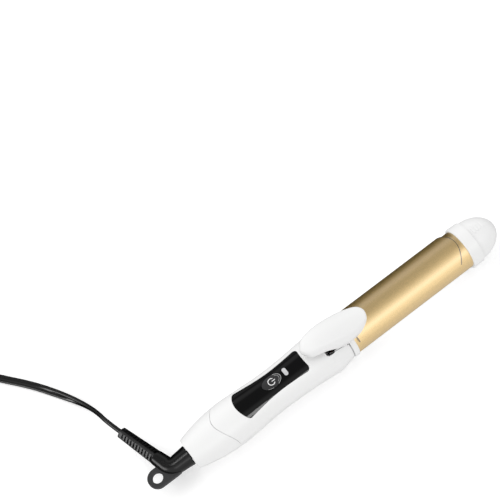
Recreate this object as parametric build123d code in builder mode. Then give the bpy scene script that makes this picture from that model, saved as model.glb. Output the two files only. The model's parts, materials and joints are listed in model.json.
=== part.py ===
from build123d import *
import os
from math import cos, radians, sin, tan

# A travel-size hair curling iron with a clamp, a thumb lever, an angled swivelling cord and its plug.
#
# All sizes are millimetres. A station is a distance along the barrel axis from the handle's rear
# face, and a height or a width is measured from that axis. The row's origin is under the middle of
# the iron, on the surface it lies on.

# ---- driving dimensions ----
OVERALL_LENGTH = 229.0
AXIS_HEIGHT = 14.0
BARREL_R = 12.7
BARREL_WALL = 0.8
HANDLE_CURVE = [
    (0, 9.9), (8, 11.95), (17, 13.45), (28, 14.3), (45, 13.6), (62, 12.8), (80, 13.35), (92, 14.25),
]
SHOULDER = (101.8, 15.3)
NECK_FRONT, NECK_R = 112.2, 12.9
SHOULDER_ROUNDING = 12.0
SHELL_WALL = 2.0
REAR_WALL = 4.7
NECK_BORE_R = 11.5
RING_REAR, RING_FRONT, RING_R = 112.8, 116.4, 13.4
BARREL_FRONT = 205.2
CAP_REAR, CAP_STEP, DOME_STATION = 203.3, 210.8, 211.05
CAP_REAR_R, CAP_STEP_R, DOME_R = 14.2, 13.95, 13.1
PARTING_GAP = 0.1

# controls
PANEL_DEPTH = 1.4
PANEL_GAP = 0.12
PANEL_CORNER_R = 2.3
BUTTON_STATION, BUTTON_LONG, BUTTON_WIDE = 62.7, 13.0, 7.8
LENS_STATION = 72.6
BOARD_TOP, BOARD_THICKNESS = 3.0, 1.6
SCREW_PLACES = ((31, 0), (92.5, 0))
PEDESTAL_STATION, PEDESTAL_TOP = 103.5, 4.2
NOTCH_REACH = 13.5
NOTCH_OUTLINE = [(98.2, 17), (98.2, 13.1), (99.4, 12.1), (101.6, 12.1), (102.8, 13.1), (102.8, 17)]

# lever and clamp
PIVOT_STATION, PIVOT_HEIGHT = 104.0, 10.4
PIN_R, PIN_CLEARANCE = 1.0, 0.04
OPENING_ANGLE = 18.0
LEVER_CLEARANCE = 0.45
LEVER_SKIN = 2.2
LEVER_CROWN = [
    (86, 19.9), (89, 21.6), (94, 22.3), (101, 21.4), (110, 19.2), (120, 16.9), (128, 15), (133, 13.7),
]
CLAMP_IN_R, CLAMP_OUT_R = 13.05, 13.85
CLAMP_REAR, CLAMP_FRONT = 118.3, 200.5
CLAMP_EDGE_HEIGHT = 7.4
CLAMP_RIVETS = (121.6, 126.6)
CLAMP_RIVET_TOPS = (15.3, 14.6)

# swivel, elbow and cord
SWIVEL_R = 3.6
ELBOW_GAP = 0.3
ELBOW_STATION = -13.4
RELIEF_HEADING = 106.6
RELIEF_LENGTH = 39.7
RELIEF_END_R = 2.95
LOOP_STATION, LOOP_R, LOOP_HOLE_R, LOOP_THICKNESS = -23.0, 6.2, 3.3, 3.0
CORD_R = 2.5
FLOOR = -AXIS_HEIGHT
COIL_CENTRE = (-113.1, 125.9)
COIL_MEAN_R, COIL_WIDE, COIL_HIGH = 27.65, 20.6, 5.8
PLUG_X, PLUG_HEIGHT = -149.5, 8.0
PLUG_RELIEF_REAR, PLUG_REAR, PLUG_FRONT = 92.5, 78.5, 48.5
BLADE_LENGTH, BLADE_WIDE, BLADE_THICK, BLADE_SPACING = 17.5, 6.35, 1.5, 12.7

REAR = -OVERALL_LENGTH / 2
BARREL_AXIS = Axis((REAR, 0, AXIS_HEIGHT), (1, 0, 0))
PIVOT_AXIS = Axis((REAR + PIVOT_STATION, 0, AXIS_HEIGHT + PIVOT_HEIGHT), (0, -1, 0))


# ---- places ----
def level(height, x=0.0, y=0.0):
    """A horizontal plane: its own x is the station, its own y is the row's Y."""
    return Plane(origin=(REAR + x, y, AXIS_HEIGHT + height))


def station(x):
    """A plane across the barrel at a station: its own x is the row's Y, its own y is height."""
    return Plane(origin=(REAR + x, 0, AXIS_HEIGHT), x_dir=(0, 1, 0), z_dir=(1, 0, 0))


def upright(y=0.0):
    """A plane along the barrel: its own x is the station, its own y is height, and it faces -Y."""
    return Plane(origin=(REAR, y, AXIS_HEIGHT), x_dir=(1, 0, 0), z_dir=(0, -1, 0))


def row_point(x, y, height):
    return Vector(REAR + x, y, AXIS_HEIGHT + height)


def both_sides(points):
    """An outline from its far half, points at +Y, closed by the same points at -Y in reverse."""
    return points + [(x, -y) for x, y in reversed(points) if y != 0]


# ---- shared outlines, to add to a sketch on upright() or level() ----
def handle_half(inset=0.0):
    """The half profile of the handle, from the barrel axis to its surface or a skin inside it."""
    shoulder_point = (SHOULDER[0], SHOULDER[1] - inset)
    with BuildSketch(Plane.XY) as half:
        with BuildLine():
            Spline([(x, r - inset) for x, r in HANDLE_CURVE] + [shoulder_point])
            Polyline(
                shoulder_point,
                (NECK_FRONT, NECK_R - inset),
                (NECK_FRONT, 0),
                (HANDLE_CURVE[0][0], 0),
                (HANDLE_CURVE[0][0], HANDLE_CURVE[0][1] - inset),
            )
        make_face()
        fillet(half.vertices().sort_by_distance(shoulder_point)[0], SHOULDER_ROUNDING)
    return half.sketch


def upper_zone(setback=0.0):
    """Plan of the upper shell: a tongue at the rear that sweeps forward to both sides."""
    tongue = [(29.0, 17.0), (25.3, 11.6), (21.4, 5.2), (20.0, 0.0)]
    with BuildSketch(Plane.XY) as zone:
        with BuildLine():
            Spline([(x + setback, y) for x, y in both_sides(tongue)])
            Polyline((29.0 + setback, -17), (120, -17), (120, 17), (29.0 + setback, 17))
        make_face()
    return zone.sketch


def panel_plan(grow=0.0):
    """Plan of the control panel: waisted sides, a bowed rear edge, a hollow front edge, rounded corners."""
    waist = [(85.9 + grow, 8.1 + grow), (72.0, 7.05 + grow), (62.0, 6.95 + grow), (51.5, 7.85 + grow)]
    side = waist + [(40.2 - grow, 9.4 + grow)]
    with BuildSketch(Plane.XY) as plan:
        with BuildLine():
            Spline(side)
            ThreePointArc(side[-1], (36.7 - grow, 0), (side[-1][0], -side[-1][1]))
            Spline([(x, -y) for x, y in reversed(side)])
            ThreePointArc((side[0][0], -side[0][1]), (85.0 + grow, 0), side[0])
        make_face()
        fillet(plan.vertices(), PANEL_CORNER_R)
    return plan.sketch


# ---- tools that shape more than one piece ----
with BuildPart() as handle_body:
    with BuildSketch(upright()):
        add(handle_half())
    revolve(axis=BARREL_AXIS)

with BuildPart() as handle_cavity:
    with BuildSketch(upright()):
        add(handle_half(SHELL_WALL))
        with Locations((REAR_WALL + 50.65, 10)):
            Rectangle(101.3, 20, mode=Mode.INTERSECT)
        with Locations((109, NECK_BORE_R / 2)):
            Rectangle(8, NECK_BORE_R)
    revolve(axis=BARREL_AXIS)

with BuildPart() as panel_recess:
    with BuildSketch(level(4)):
        add(panel_plan(PANEL_GAP))
    extrude(amount=14)
    with BuildSketch(upright()):
        add(handle_half(PANEL_DEPTH))
    revolve(axis=BARREL_AXIS, mode=Mode.SUBTRACT)

with BuildPart() as lever_envelope:
    with BuildSketch(upright()):
        add(handle_half(-LEVER_CLEARANCE))
        with Locations(((NECK_FRONT + RING_FRONT) / 2, RING_R / 2)):
            Rectangle(RING_FRONT - NECK_FRONT + 1.2, RING_R + LEVER_CLEARANCE)
        with Locations(((RING_FRONT + 140) / 2, CLAMP_OUT_R / 2)):
            Rectangle(140 - RING_FRONT, CLAMP_OUT_R)
    revolve(axis=BARREL_AXIS)


# ---- handle shells ----
with BuildPart() as lower_shell:
    add(handle_body.part)
    add(handle_cavity.part, mode=Mode.SUBTRACT)
    with BuildSketch(level(-PARTING_GAP)):
        add(upper_zone())
    extrude(amount=20, mode=Mode.SUBTRACT)
    # screw pillars and the pedestal of the lever's bracket
    with BuildSketch(level(FLOOR + 1)):
        with Locations(*SCREW_PLACES):
            Circle(3.4)
    extrude(amount=-FLOOR - 1 - PARTING_GAP)
    with BuildSketch(level(FLOOR + 1, PEDESTAL_STATION)):
        Rectangle(7.6, 8)
    extrude(amount=-FLOOR - 1 + PEDESTAL_TOP)
    with BuildSketch(level(PEDESTAL_TOP, PEDESTAL_STATION)):
        Circle(1.12)
    extrude(amount=-7, mode=Mode.SUBTRACT)
    # two saddles that carry the circuit board
    with BuildSketch(level(-8.2)):
        with Locations((48, 6.5), (48, -6.5), (78, 6.5), (78, -6.5)):
            Rectangle(1.8, 5.4)
    extrude(amount=8.2 + BOARD_TOP - BOARD_THICKNESS)
    # rib that stops the swivel
    with BuildSketch(station(6.4)):
        with Locations((0, 7.2)):
            Rectangle(1.6, 6.6)
    extrude(amount=1.8)
    with BuildSketch(station(-1)):
        Circle(SWIVEL_R)
    extrude(amount=REAR_WALL + 2, mode=Mode.SUBTRACT)
    # screw holes with sunk heads, from underneath
    with BuildSketch(level(FLOOR - 1)):
        with Locations(*SCREW_PLACES):
            Circle(1.5)
    extrude(amount=20, mode=Mode.SUBTRACT)
    with BuildSketch(level(FLOOR - 1)):
        with Locations(*SCREW_PLACES):
            Circle(2.7)
    extrude(amount=4.2, mode=Mode.SUBTRACT)
    split(bisect_by=level(FLOOR), keep=Keep.TOP)

with BuildPart() as upper_shell:
    add(handle_body.part)
    add(handle_cavity.part, mode=Mode.SUBTRACT)
    with BuildSketch(level(PARTING_GAP)):
        add(upper_zone(0.2))
    extrude(amount=20, mode=Mode.INTERSECT)
    with BuildSketch(level(PARTING_GAP)):
        with Locations(*SCREW_PLACES):
            Circle(3.0)
    extrude(amount=12.5)
    with BuildSketch(level(PARTING_GAP)):
        with Locations(*SCREW_PLACES):
            Circle(1.3)
    extrude(amount=8, mode=Mode.SUBTRACT)
    add(panel_recess.part, mode=Mode.SUBTRACT)
    # window under the panel, for the button and the lamp
    with BuildSketch(level(6)):
        with Locations((66.5, 0)):
            RectangleRounded(24, 9.4, 2)
    extrude(amount=10, mode=Mode.SUBTRACT)
    # pocket for the lever's lugs and bracket, and its side notches
    with BuildSketch(level(2)):
        with Locations((102.9, 0)):
            Rectangle(10.8, 16.4)
    extrude(amount=16, mode=Mode.SUBTRACT)
    with BuildSketch(upright(NOTCH_REACH)):
        with BuildLine():
            Polyline(NOTCH_OUTLINE, close=True)
        make_face()
    extrude(amount=2 * NOTCH_REACH, mode=Mode.SUBTRACT)
    # soft finger scoops beside the notches
    for side in (-1, 1):
        with Locations(row_point(101.5, side * 15.6, 13.1)):
            Sphere(6.0, mode=Mode.SUBTRACT)

# ---- control panel, button and electronics ----
with BuildPart() as control_panel:
    with BuildSketch(level(4)):
        add(panel_plan())
    extrude(amount=14)
    with BuildSketch(upright()):
        add(handle_half(PANEL_DEPTH - 0.02))
    revolve(axis=BARREL_AXIS, mode=Mode.SUBTRACT)
    with BuildSketch(upright()):
        add(handle_half(0.1))
    revolve(axis=BARREL_AXIS, mode=Mode.INTERSECT)
    with BuildSketch(level(4, BUTTON_STATION)):
        Ellipse(BUTTON_LONG / 2 + 0.25, BUTTON_WIDE / 2 + 0.25)
    extrude(amount=14, mode=Mode.SUBTRACT)
    with BuildSketch(level(4, LENS_STATION)):
        RectangleRounded(2.6, 5.2, 1.2)
    extrude(amount=14, mode=Mode.SUBTRACT)

with BuildPart() as power_button:
    with BuildSketch(level(9.9, BUTTON_STATION)):
        Ellipse(BUTTON_LONG / 2, BUTTON_WIDE / 2)
    extrude(amount=6)
    with BuildSketch(upright()):
        add(handle_half(-0.15))
    revolve(axis=BARREL_AXIS, mode=Mode.INTERSECT)
    with BuildSketch(level(9.0, BUTTON_STATION)):
        Ellipse(BUTTON_LONG / 2 + 0.6, 4.5)
    extrude(amount=0.95)
    with BuildSketch(level(8.3, BUTTON_STATION)):
        Circle(1.6)
    extrude(amount=0.9)

with BuildPart() as indicator_lens:
    with BuildSketch(level(8.6, LENS_STATION)):
        RectangleRounded(2.5, 5.1, 1.2)
    extrude(amount=7)
    with BuildSketch(upright()):
        add(handle_half(0.02))
    revolve(axis=BARREL_AXIS, mode=Mode.INTERSECT)

with BuildPart() as circuit_board:
    with BuildSketch(level(BOARD_TOP - BOARD_THICKNESS)):
        with Locations((63.5, 0)):
            RectangleRounded(35, 15, 1)
    extrude(amount=BOARD_THICKNESS)

with BuildPart() as power_switch:
    with BuildSketch(level(BOARD_TOP, BUTTON_STATION)):
        Rectangle(6, 6)
    extrude(amount=3.4)
    with BuildSketch(level(BOARD_TOP + 3.4, BUTTON_STATION)):
        Circle(1.7)
    extrude(amount=1.0)

with BuildPart() as indicator_led:
    with BuildSketch(level(BOARD_TOP, LENS_STATION)):
        Circle(1.9)
    extrude(amount=1.0)
    with BuildSketch(level(BOARD_TOP + 1.0, LENS_STATION)):
        Circle(1.5)
    extrude(amount=3.6)
    fillet(faces().sort_by(Axis.Z)[-1].edges(), 1.2)

# ---- barrel, its collar and its tip ----
with BuildPart() as barrel_collar:
    with BuildSketch(upright()):
        with BuildLine():
            Polyline(
                (108.7, 9.6), (108.7, 11.4), (RING_REAR, 11.4), (RING_REAR, RING_R), (RING_FRONT, RING_R),
                (RING_FRONT, BARREL_R + 0.03), (113.5, BARREL_R + 0.03), (113.5, 11.85), (119, 11.85),
                (119, 9.6),
                close=True,
            )
        make_face()
    revolve(axis=BARREL_AXIS)
    chamfer(edges().filter_by(GeomType.CIRCLE).sort_by(SortBy.RADIUS)[-2:], 0.35)

with BuildPart() as barrel_tube:
    with BuildSketch(station(113.5)):
        Circle(BARREL_R)
        Circle(BARREL_R - BARREL_WALL, mode=Mode.SUBTRACT)
    extrude(amount=BARREL_FRONT - 113.5)

with BuildPart() as tip_cap:
    with BuildSketch(upright()):
        with BuildLine():
            Polyline((CAP_REAR, BARREL_R + 0.03), (CAP_REAR, CAP_REAR_R - 0.5), (CAP_REAR + 0.5, CAP_REAR_R))
            Line((CAP_REAR + 0.5, CAP_REAR_R), (CAP_STEP, CAP_STEP_R))
            Line((CAP_STEP, CAP_STEP_R), (DOME_STATION, DOME_R))
            dome_long = OVERALL_LENGTH - DOME_STATION
            EllipticalCenterArc((DOME_STATION, 0), dome_long, DOME_R, start_angle=0, arc_size=90)
            Polyline(
                (OVERALL_LENGTH, 0), (222, 0), (219, 7), (212, 9.8), (197, 9.8), (197, 11.85),
                (BARREL_FRONT + 0.1, 11.85), (BARREL_FRONT + 0.1, BARREL_R + 0.03),
                (CAP_REAR, BARREL_R + 0.03),
            )
        make_face()
    revolve(axis=BARREL_AXIS)
    # four short grip ribs on the upper side of the dome
    for rib in range(4):
        with BuildSketch(level(6, 213.4 + 2.3 * rib)):
            RectangleRounded(0.9, 5.6 - 0.7 * rib, 0.4)
        extrude(amount=DOME_R * (1 - ((2.9 + 2.3 * rib) / 18.2) ** 2) ** 0.5 + 0.4 - 6)
    split(bisect_by=level(FLOOR), keep=Keep.TOP)

# ---- heater ----
def heater_core(side):
    with BuildPart() as core:
        with BuildSketch(station(124)):
            Circle(11.75)
            with Locations((0, side * -9.4)):
                Rectangle(30, 24, mode=Mode.SUBTRACT)
        extrude(amount=66)
    return core


def flat_sheet(middle_station, middle_height, long, wide, thick):
    with BuildPart() as sheet:
        with BuildSketch(level(middle_height - thick / 2, middle_station)):
            Rectangle(long, wide)
        extrude(amount=thick)
    return sheet


upper_core, lower_core = heater_core(1), heater_core(-1)
ptc_heater = flat_sheet(157, 0, 58, 12, 2.2)
upper_electrode, lower_electrode = (flat_sheet(155, side * 1.35, 66, 11, 0.4) for side in (1, -1))
upper_mica, lower_mica = (flat_sheet(157, side * 2.05, 64, 15, 0.9) for side in (1, -1))

with BuildPart() as thermal_fuse:
    with BuildSketch(station(110)):
        with Locations((0, -6)):
            Circle(2.0)
    extrude(amount=11)


# ---- wires inside the iron ----
def corner_radii(points):
    """For each corner of a route, 0.45 of its shorter run over the tangent of half its turn."""
    vectors = [Vector(*p) for p in points]
    radii = []
    for before, corner, after in zip(vectors, vectors[1:], vectors[2:]):
        run_in, run_out = corner - before, after - corner
        turn = radians(run_in.get_angle(run_out))
        radii.append(0.45 * min(run_in.length, run_out.length) / tan(turn / 2))
    return radii


def tube_along(points, radius):
    """A round tube along a route of straight runs joined by tangent arcs."""
    path_points = [row_point(*p) for p in points]
    with BuildPart() as tube:
        with BuildLine() as path:
            FilletPolyline(*path_points, radius=corner_radii(path_points))
        with BuildSketch(Plane(origin=path.line @ 0, z_dir=path.line % 0)):
            Circle(radius)
        sweep()
    return tube, sum(run.length for run in path.edges())


def supply_route(side):
    return [
        (9.8, side, 0), (15, 1.9 * side, -0.3), (24, 5.4 * side, -1.2),
        (36, 5.6 * side, -1.9), (44, 2.7 * side, -1.7), (53, 2.3 * side, 0.55),
    ]


def heater_route(side):
    return [
        (73, 2.3 * side, 0.55), (81, 3.1 * side, -1.6), (90, 5.6 * side, -2.0),
        (101, 6.3 * side, -1.6), (113, 6.2 * side, -0.7), (121.9, 4 * side, 1.35 * side),
    ]


far_supply_lead, near_supply_lead = (tube_along(supply_route(side), 0.7)[0] for side in (1, -1))
far_heater_lead, near_heater_lead = (tube_along(heater_route(side), 0.7)[0] for side in (1, -1))


# ---- screws and rivets ----
def handle_screw(place):
    with BuildPart() as screw:
        with BuildSketch(level(FLOOR + 1.2, *place)):
            Circle(2.5)
        extrude(amount=2.0)
        with BuildSketch(level(FLOOR + 3.2, *place)):
            Circle(1.28)
        extrude(amount=17.5)
        # cross recess in the head
        with BuildSketch(level(FLOOR + 1.2, *place)):
            Rectangle(2.6, 0.7)
            Rectangle(0.7, 2.6)
        extrude(amount=1.1, mode=Mode.SUBTRACT)
    return screw


rear_handle_screw, front_handle_screw = (handle_screw(place) for place in SCREW_PLACES)

with BuildPart() as bracket_screw:
    with BuildSketch(level(PEDESTAL_TOP + 0.8, PEDESTAL_STATION)):
        Circle(2.0)
    extrude(amount=1.1)
    with BuildSketch(level(PEDESTAL_TOP + 0.8, PEDESTAL_STATION)):
        Circle(1.1)
    extrude(amount=-7)

# ---- lever bracket, pin and spring ----
with BuildPart() as pivot_bracket:
    with BuildSketch(level(PEDESTAL_TOP)):
        with Locations((103.8, 0)):
            Rectangle(7.8, 8.4)
        with Locations((PEDESTAL_STATION, 0)):
            Circle(1.15, mode=Mode.SUBTRACT)
    extrude(amount=0.8)
    for outer_side in (4.2, -3.4):
        with BuildSketch(upright(outer_side)):
            with Locations((PIVOT_STATION, PIVOT_HEIGHT)):
                Circle(2.6)
            with Locations((PIVOT_STATION, (PEDESTAL_TOP + PIVOT_HEIGHT) / 2)):
                Rectangle(5.2, PIVOT_HEIGHT - PEDESTAL_TOP)
            with Locations((PIVOT_STATION, PIVOT_HEIGHT)):
                Circle(PIN_R + 0.02, mode=Mode.SUBTRACT)
        extrude(amount=0.8)

with BuildPart() as pivot_pin:
    with BuildSketch(upright(7.4)):
        with Locations((PIVOT_STATION, PIVOT_HEIGHT)):
            Circle(PIN_R)
    extrude(amount=14.8)
    for outer_side in (7.5, -6.8):
        with BuildSketch(upright(outer_side)):
            with Locations((PIVOT_STATION, PIVOT_HEIGHT)):
                Circle(1.8)
        extrude(amount=0.7)

with BuildPart() as torsion_spring:
    with BuildSketch(upright(2.8)):
        with Locations((PIVOT_STATION, PIVOT_HEIGHT)):
            Circle(2.6)
            Circle(1.8, mode=Mode.SUBTRACT)
    extrude(amount=5.6)
    for start, end in (((104, 2.1, 12.6), (96.8, 2.1, 15.9)), ((104, -2.1, 8.2), (99.6, -2.1, 5.5))):
        leg_start, leg_end = row_point(*start), row_point(*end)
        with BuildSketch(Plane(origin=leg_start, z_dir=leg_end - leg_start)):
            Circle(0.4)
        extrude(amount=(leg_end - leg_start).length)


# ---- thumb lever ----
def lever_blank(inset=0.0):
    """The lever's outer shape, or the same shape a skin smaller: plan, side view and crowned top."""
    rear, front = 87.0 + inset, 131.6 - inset
    half = [(front, 0), (front - 1.2, 3.9), (front - 4.6, 6.9), (front - 11, 9.2 - inset),
            (111, 10.15 - inset), (101, 10.3 - inset), (93.5 + inset, 9.2 - inset), (rear + 1.8, 5.8 - inset), (rear, 0)]
    with BuildPart() as blank:
        with BuildSketch(level(5)):
            with BuildLine():
                Spline(half, tangents=((0, 1), (0, -1)))
                mirror(about=Plane.XZ)
            make_face()
        extrude(amount=19)
        with BuildSketch(upright(12)):
            with BuildLine():
                Spline([(x, z - inset) for x, z in LEVER_CROWN])
                Polyline((133, 13.7 - inset), (133, 5), (86, 5), (86, 19.9 - inset))
            make_face()
        extrude(amount=24, mode=Mode.INTERSECT)
        rising = radians(12)
        crown_along = (-cos(rising), 0, sin(rising))
        crown = Plane(origin=row_point(134, 0, 13.7 - inset), x_dir=(0, -1, 0), z_dir=crown_along)
        with BuildSketch(crown):
            with Locations((0, -13.5 + inset)):
                Circle(13.5 - inset)
        extrude(amount=60, mode=Mode.INTERSECT)
    return blank.part


with BuildPart() as lever_hollow:
    add(lever_blank(LEVER_SKIN))
    split(bisect_by=station(117), keep=Keep.BOTTOM)

with BuildPart() as thumb_lever:
    add(lever_blank())
    add(lever_hollow.part, mode=Mode.SUBTRACT)
    # raised rear edge, clear of the handle
    with BuildSketch(upright(12)):
        with BuildLine():
            Polyline((80, 5), (80, 18.4), (90, 18.5), (95, 16.9), (100, 14.6), (102.6, 5), close=True)
        make_face()
    extrude(amount=24, mode=Mode.SUBTRACT)
    add(lever_envelope.part, mode=Mode.SUBTRACT)
    add(lever_envelope.part.rotate(PIVOT_AXIS, -OPENING_ANGLE), mode=Mode.SUBTRACT)
    for outer_side in (6.6, -4.4):
        with BuildSketch(upright(outer_side)):
            with Locations((PIVOT_STATION, PIVOT_HEIGHT)):
                Circle(2.6)
            with Locations((PIVOT_STATION, 13.9)):
                Rectangle(5.2, 7.2)
            with Locations((PIVOT_STATION, PIVOT_HEIGHT)):
                Circle(PIN_R + PIN_CLEARANCE, mode=Mode.SUBTRACT)
        extrude(amount=2.2)
    for place, top in zip(CLAMP_RIVETS, (15.3, 14.6)):
        with BuildSketch(level(13, place)):
            Circle(1.02)
        extrude(amount=top - 13, mode=Mode.SUBTRACT)

# ---- clamp ----
with BuildPart() as clamp:
    with BuildSketch(station(CLAMP_REAR)):
        Circle(CLAMP_OUT_R)
        Circle(CLAMP_IN_R, mode=Mode.SUBTRACT)
    extrude(amount=CLAMP_FRONT - CLAMP_REAR + 1)
    with BuildSketch(level(CLAMP_EDGE_HEIGHT)):
        with BuildLine():
            Polyline((CLAMP_FRONT - 5.8, -12.4), (CLAMP_REAR, -12.4), (CLAMP_REAR, 12.4),
                     (CLAMP_FRONT - 5.8, 12.4))
            ThreePointArc((CLAMP_FRONT - 5.8, 12.4), (CLAMP_FRONT, 0), (CLAMP_FRONT - 5.8, -12.4))
        make_face()
    extrude(amount=10, mode=Mode.INTERSECT)
    for place in CLAMP_RIVETS:
        with BuildSketch(level(12.9, place)):
            Circle(2.05)
        with BuildSketch(level(14.0, place)):
            Circle(1.02)
        loft(mode=Mode.SUBTRACT)


def clamp_rivet(place, top):
    with BuildPart() as rivet:
        with BuildSketch(level(13.1, place)):
            Circle(1.8)
        with BuildSketch(level(13.9, place)):
            Circle(1.0)
        loft()
        with BuildSketch(level(13.9, place)):
            Circle(1.0)
        extrude(amount=top - 0.1 - 13.9)
    return rivet


rear_clamp_rivet, front_clamp_rivet = (clamp_rivet(*rivet) for rivet in zip(CLAMP_RIVETS, CLAMP_RIVET_TOPS))

# ---- swivel, elbow with hang loop and strain relief ----
with BuildPart() as swivel_bush:
    with BuildSketch(upright()):
        with BuildLine():
            Polyline(
                (0.1, 2.95), (0.1, 3.55), (4.9, 3.55), (4.9, 3.05), (5.9, 3.05), (5.9, 3.55),
                (9.2, 3.55), (9.2, 2.2), (6.0, 2.2), (6.0, 2.95), close=True,
            )
        make_face()
    revolve(axis=BARREL_AXIS)
    with BuildSketch(station(6.7)):
        with Locations((0, -4.4)):
            Rectangle(1.6, 2.6)
    extrude(amount=1.2)

with BuildPart() as swivel_clip:
    with BuildSketch(station(5.0)):
        Circle(6.3)
        Circle(3.1, mode=Mode.SUBTRACT)
        with Locations((0, -5)):
            Rectangle(3.4, 6, mode=Mode.SUBTRACT)
    extrude(amount=0.8)

heading = radians(RELIEF_HEADING)
relief_axis = Vector(cos(heading), sin(heading), 0)


def across_relief(distance):
    """A plane across the strain relief at a distance from the elbow: its own y is height."""
    origin = row_point(ELBOW_STATION, 0, 0) + relief_axis * distance
    return Plane(origin=origin, x_dir=(sin(heading), -cos(heading), 0), z_dir=relief_axis)


with BuildPart() as cord_elbow:
    with BuildSketch(upright()):
        with BuildLine():
            Polyline((5.6, 0), (5.6, 2.9), (-ELBOW_GAP, 2.9), (-ELBOW_GAP, 6.4), (-ELBOW_GAP - 0.5, 6.6),
                     (ELBOW_STATION, 5.3), (ELBOW_STATION, 0), close=True)
        make_face()
    revolve(axis=BARREL_AXIS)
    with Locations(row_point(ELBOW_STATION, 0, 0)):
        Sphere(5.3)
    with BuildSketch(across_relief(0)):
        Circle(5.1)
    with BuildSketch(across_relief(12)):
        Circle(4.2)
    loft()
    with BuildSketch(across_relief(12)):
        Circle(4.2)
    with BuildSketch(across_relief(RELIEF_LENGTH)):
        Circle(RELIEF_END_R)
    loft()
    for slot in range(10):
        with BuildSketch(across_relief(14.2 + 2.45 * slot)):
            with Locations((4.4, 0), (-4.4, 0)):
                Rectangle(6, 3.9 - 0.07 * slot)
        extrude(amount=1.15, mode=Mode.SUBTRACT)
    with BuildSketch(level(-LOOP_THICKNESS / 2)):
        with Locations((LOOP_STATION, 0)):
            Circle(LOOP_R)
        with Locations((LOOP_STATION + 6.5, 0)):
            Rectangle(13, 2 * LOOP_R)
    extrude(amount=LOOP_THICKNESS)
    with BuildSketch(level(-3, LOOP_STATION)):
        Circle(LOOP_HOLE_R)
    extrude(amount=6, mode=Mode.SUBTRACT)
    with BuildSketch(station(6)):
        Circle(1.9)
    extrude(amount=-16, mode=Mode.SUBTRACT)

# ---- free cord: the stretch that lies loose, its put-away coil, and the tail to the plug ----
CORD_ROUTE = [
    (-24.74, 38.05, 0), (-28.0, 49.0, 0), (-29.6, 60.6, -4.4), (-33.9, 73.4, -9.0),
    (-41.0, 87.6, -11.5), (-52.4, 106.0, -11.5), (-66.4, 123.4, -11.5), (-78.3, 139.6, -11.5),
    (-89.4, 152.1, -11.5),
]
TAIL_ROUTE = [
    (-148.4, 125.0, -9.9), (-148.5, 113.5, -9.6), (-149.1, 103.0, -7.4), (PLUG_X, PLUG_RELIEF_REAR, -6.0),
]

with BuildPart() as cord_coil:
    with BuildSketch(upright(COIL_CENTRE[1])):
        with Locations((COIL_CENTRE[0] + COIL_MEAN_R, FLOOR + COIL_HIGH / 2)):
            RectangleRounded(COIL_WIDE, COIL_HIGH, 2)
    revolve(axis=Axis(row_point(*COIL_CENTRE, 0), (0, 0, 1)))


def across_plug(y):
    """A plane across the plug, facing along its blades: its own x is the row's X."""
    return Plane(origin=row_point(PLUG_X, y, FLOOR + PLUG_HEIGHT), x_dir=(1, 0, 0), z_dir=(0, -1, 0))


with BuildPart() as plug_body:
    with BuildSketch(across_plug(PLUG_RELIEF_REAR)):
        Circle(3.1)
    with BuildSketch(across_plug(PLUG_REAR)):
        Circle(4.6)
    loft()
    with BuildSketch(across_plug(PLUG_REAR)):
        RectangleRounded(15, 11, 4)
    with BuildSketch(across_plug(PLUG_REAR - 12)):
        RectangleRounded(23, 15.9, 4)
    loft()
    with BuildSketch(across_plug(PLUG_REAR - 12)):
        RectangleRounded(23, 15.9, 4)
    extrude(amount=PLUG_REAR - 12 - PLUG_FRONT)
    with BuildSketch(across_plug(PLUG_FRONT)):
        with GridLocations(BLADE_SPACING, 1, 2, 1):
            Rectangle(BLADE_THICK, BLADE_WIDE)
    extrude(amount=-8, mode=Mode.SUBTRACT)


# the tubes run a little way into the coil, which their cord is part of
power_cord_lead, lead_length = tube_along(CORD_ROUTE, CORD_R)
power_cord_tail, tail_length = tube_along(TAIL_ROUTE, CORD_R)


def plug_blade(side):
    with BuildPart() as blade:
        with BuildSketch(across_plug(PLUG_FRONT + 8)):
            with Locations((side * BLADE_SPACING / 2, 0)):
                Rectangle(BLADE_THICK, BLADE_WIDE)
        extrude(amount=8 + BLADE_LENGTH)
    return blade


# ---- labels and files ----
PIECES = {
    "lower_shell": lower_shell,
    "upper_shell": upper_shell,
    "control_panel": control_panel,
    "power_button": power_button,
    "indicator_lens": indicator_lens,
    "circuit_board": circuit_board,
    "power_switch": power_switch,
    "indicator_led": indicator_led,
    "barrel_collar": barrel_collar,
    "barrel_tube": barrel_tube,
    "tip_cap": tip_cap,
    "heater_core_upper": upper_core,
    "heater_core_lower": lower_core,
    "ptc_heater": ptc_heater,
    "electrode_upper": upper_electrode,
    "electrode_lower": lower_electrode,
    "mica_sheet_upper": upper_mica,
    "mica_sheet_lower": lower_mica,
    "thermal_fuse": thermal_fuse,
    "supply_lead_far": far_supply_lead,
    "supply_lead_near": near_supply_lead,
    "heater_lead_far": far_heater_lead,
    "heater_lead_near": near_heater_lead,
    "handle_screw_rear": rear_handle_screw,
    "handle_screw_front": front_handle_screw,
    "pivot_bracket": pivot_bracket,
    "bracket_screw": bracket_screw,
    "pivot_pin": pivot_pin,
    "torsion_spring": torsion_spring,
    "thumb_lever": thumb_lever,
    "clamp": clamp,
    "clamp_rivet_rear": rear_clamp_rivet,
    "clamp_rivet_front": front_clamp_rivet,
    "swivel_bush": swivel_bush,
    "swivel_clip": swivel_clip,
    "cord_elbow": cord_elbow,
    "power_cord_lead": power_cord_lead,
    "cord_coil": cord_coil,
    "power_cord_tail": power_cord_tail,
    "plug_body": plug_body,
    "plug_blade_left": plug_blade(-1),
    "plug_blade_right": plug_blade(1),
}

os.makedirs("parts", exist_ok=True)
for label, piece in PIECES.items():
    piece.part.label = label
    export_step(piece.part, f"parts/{label}.step")

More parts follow.
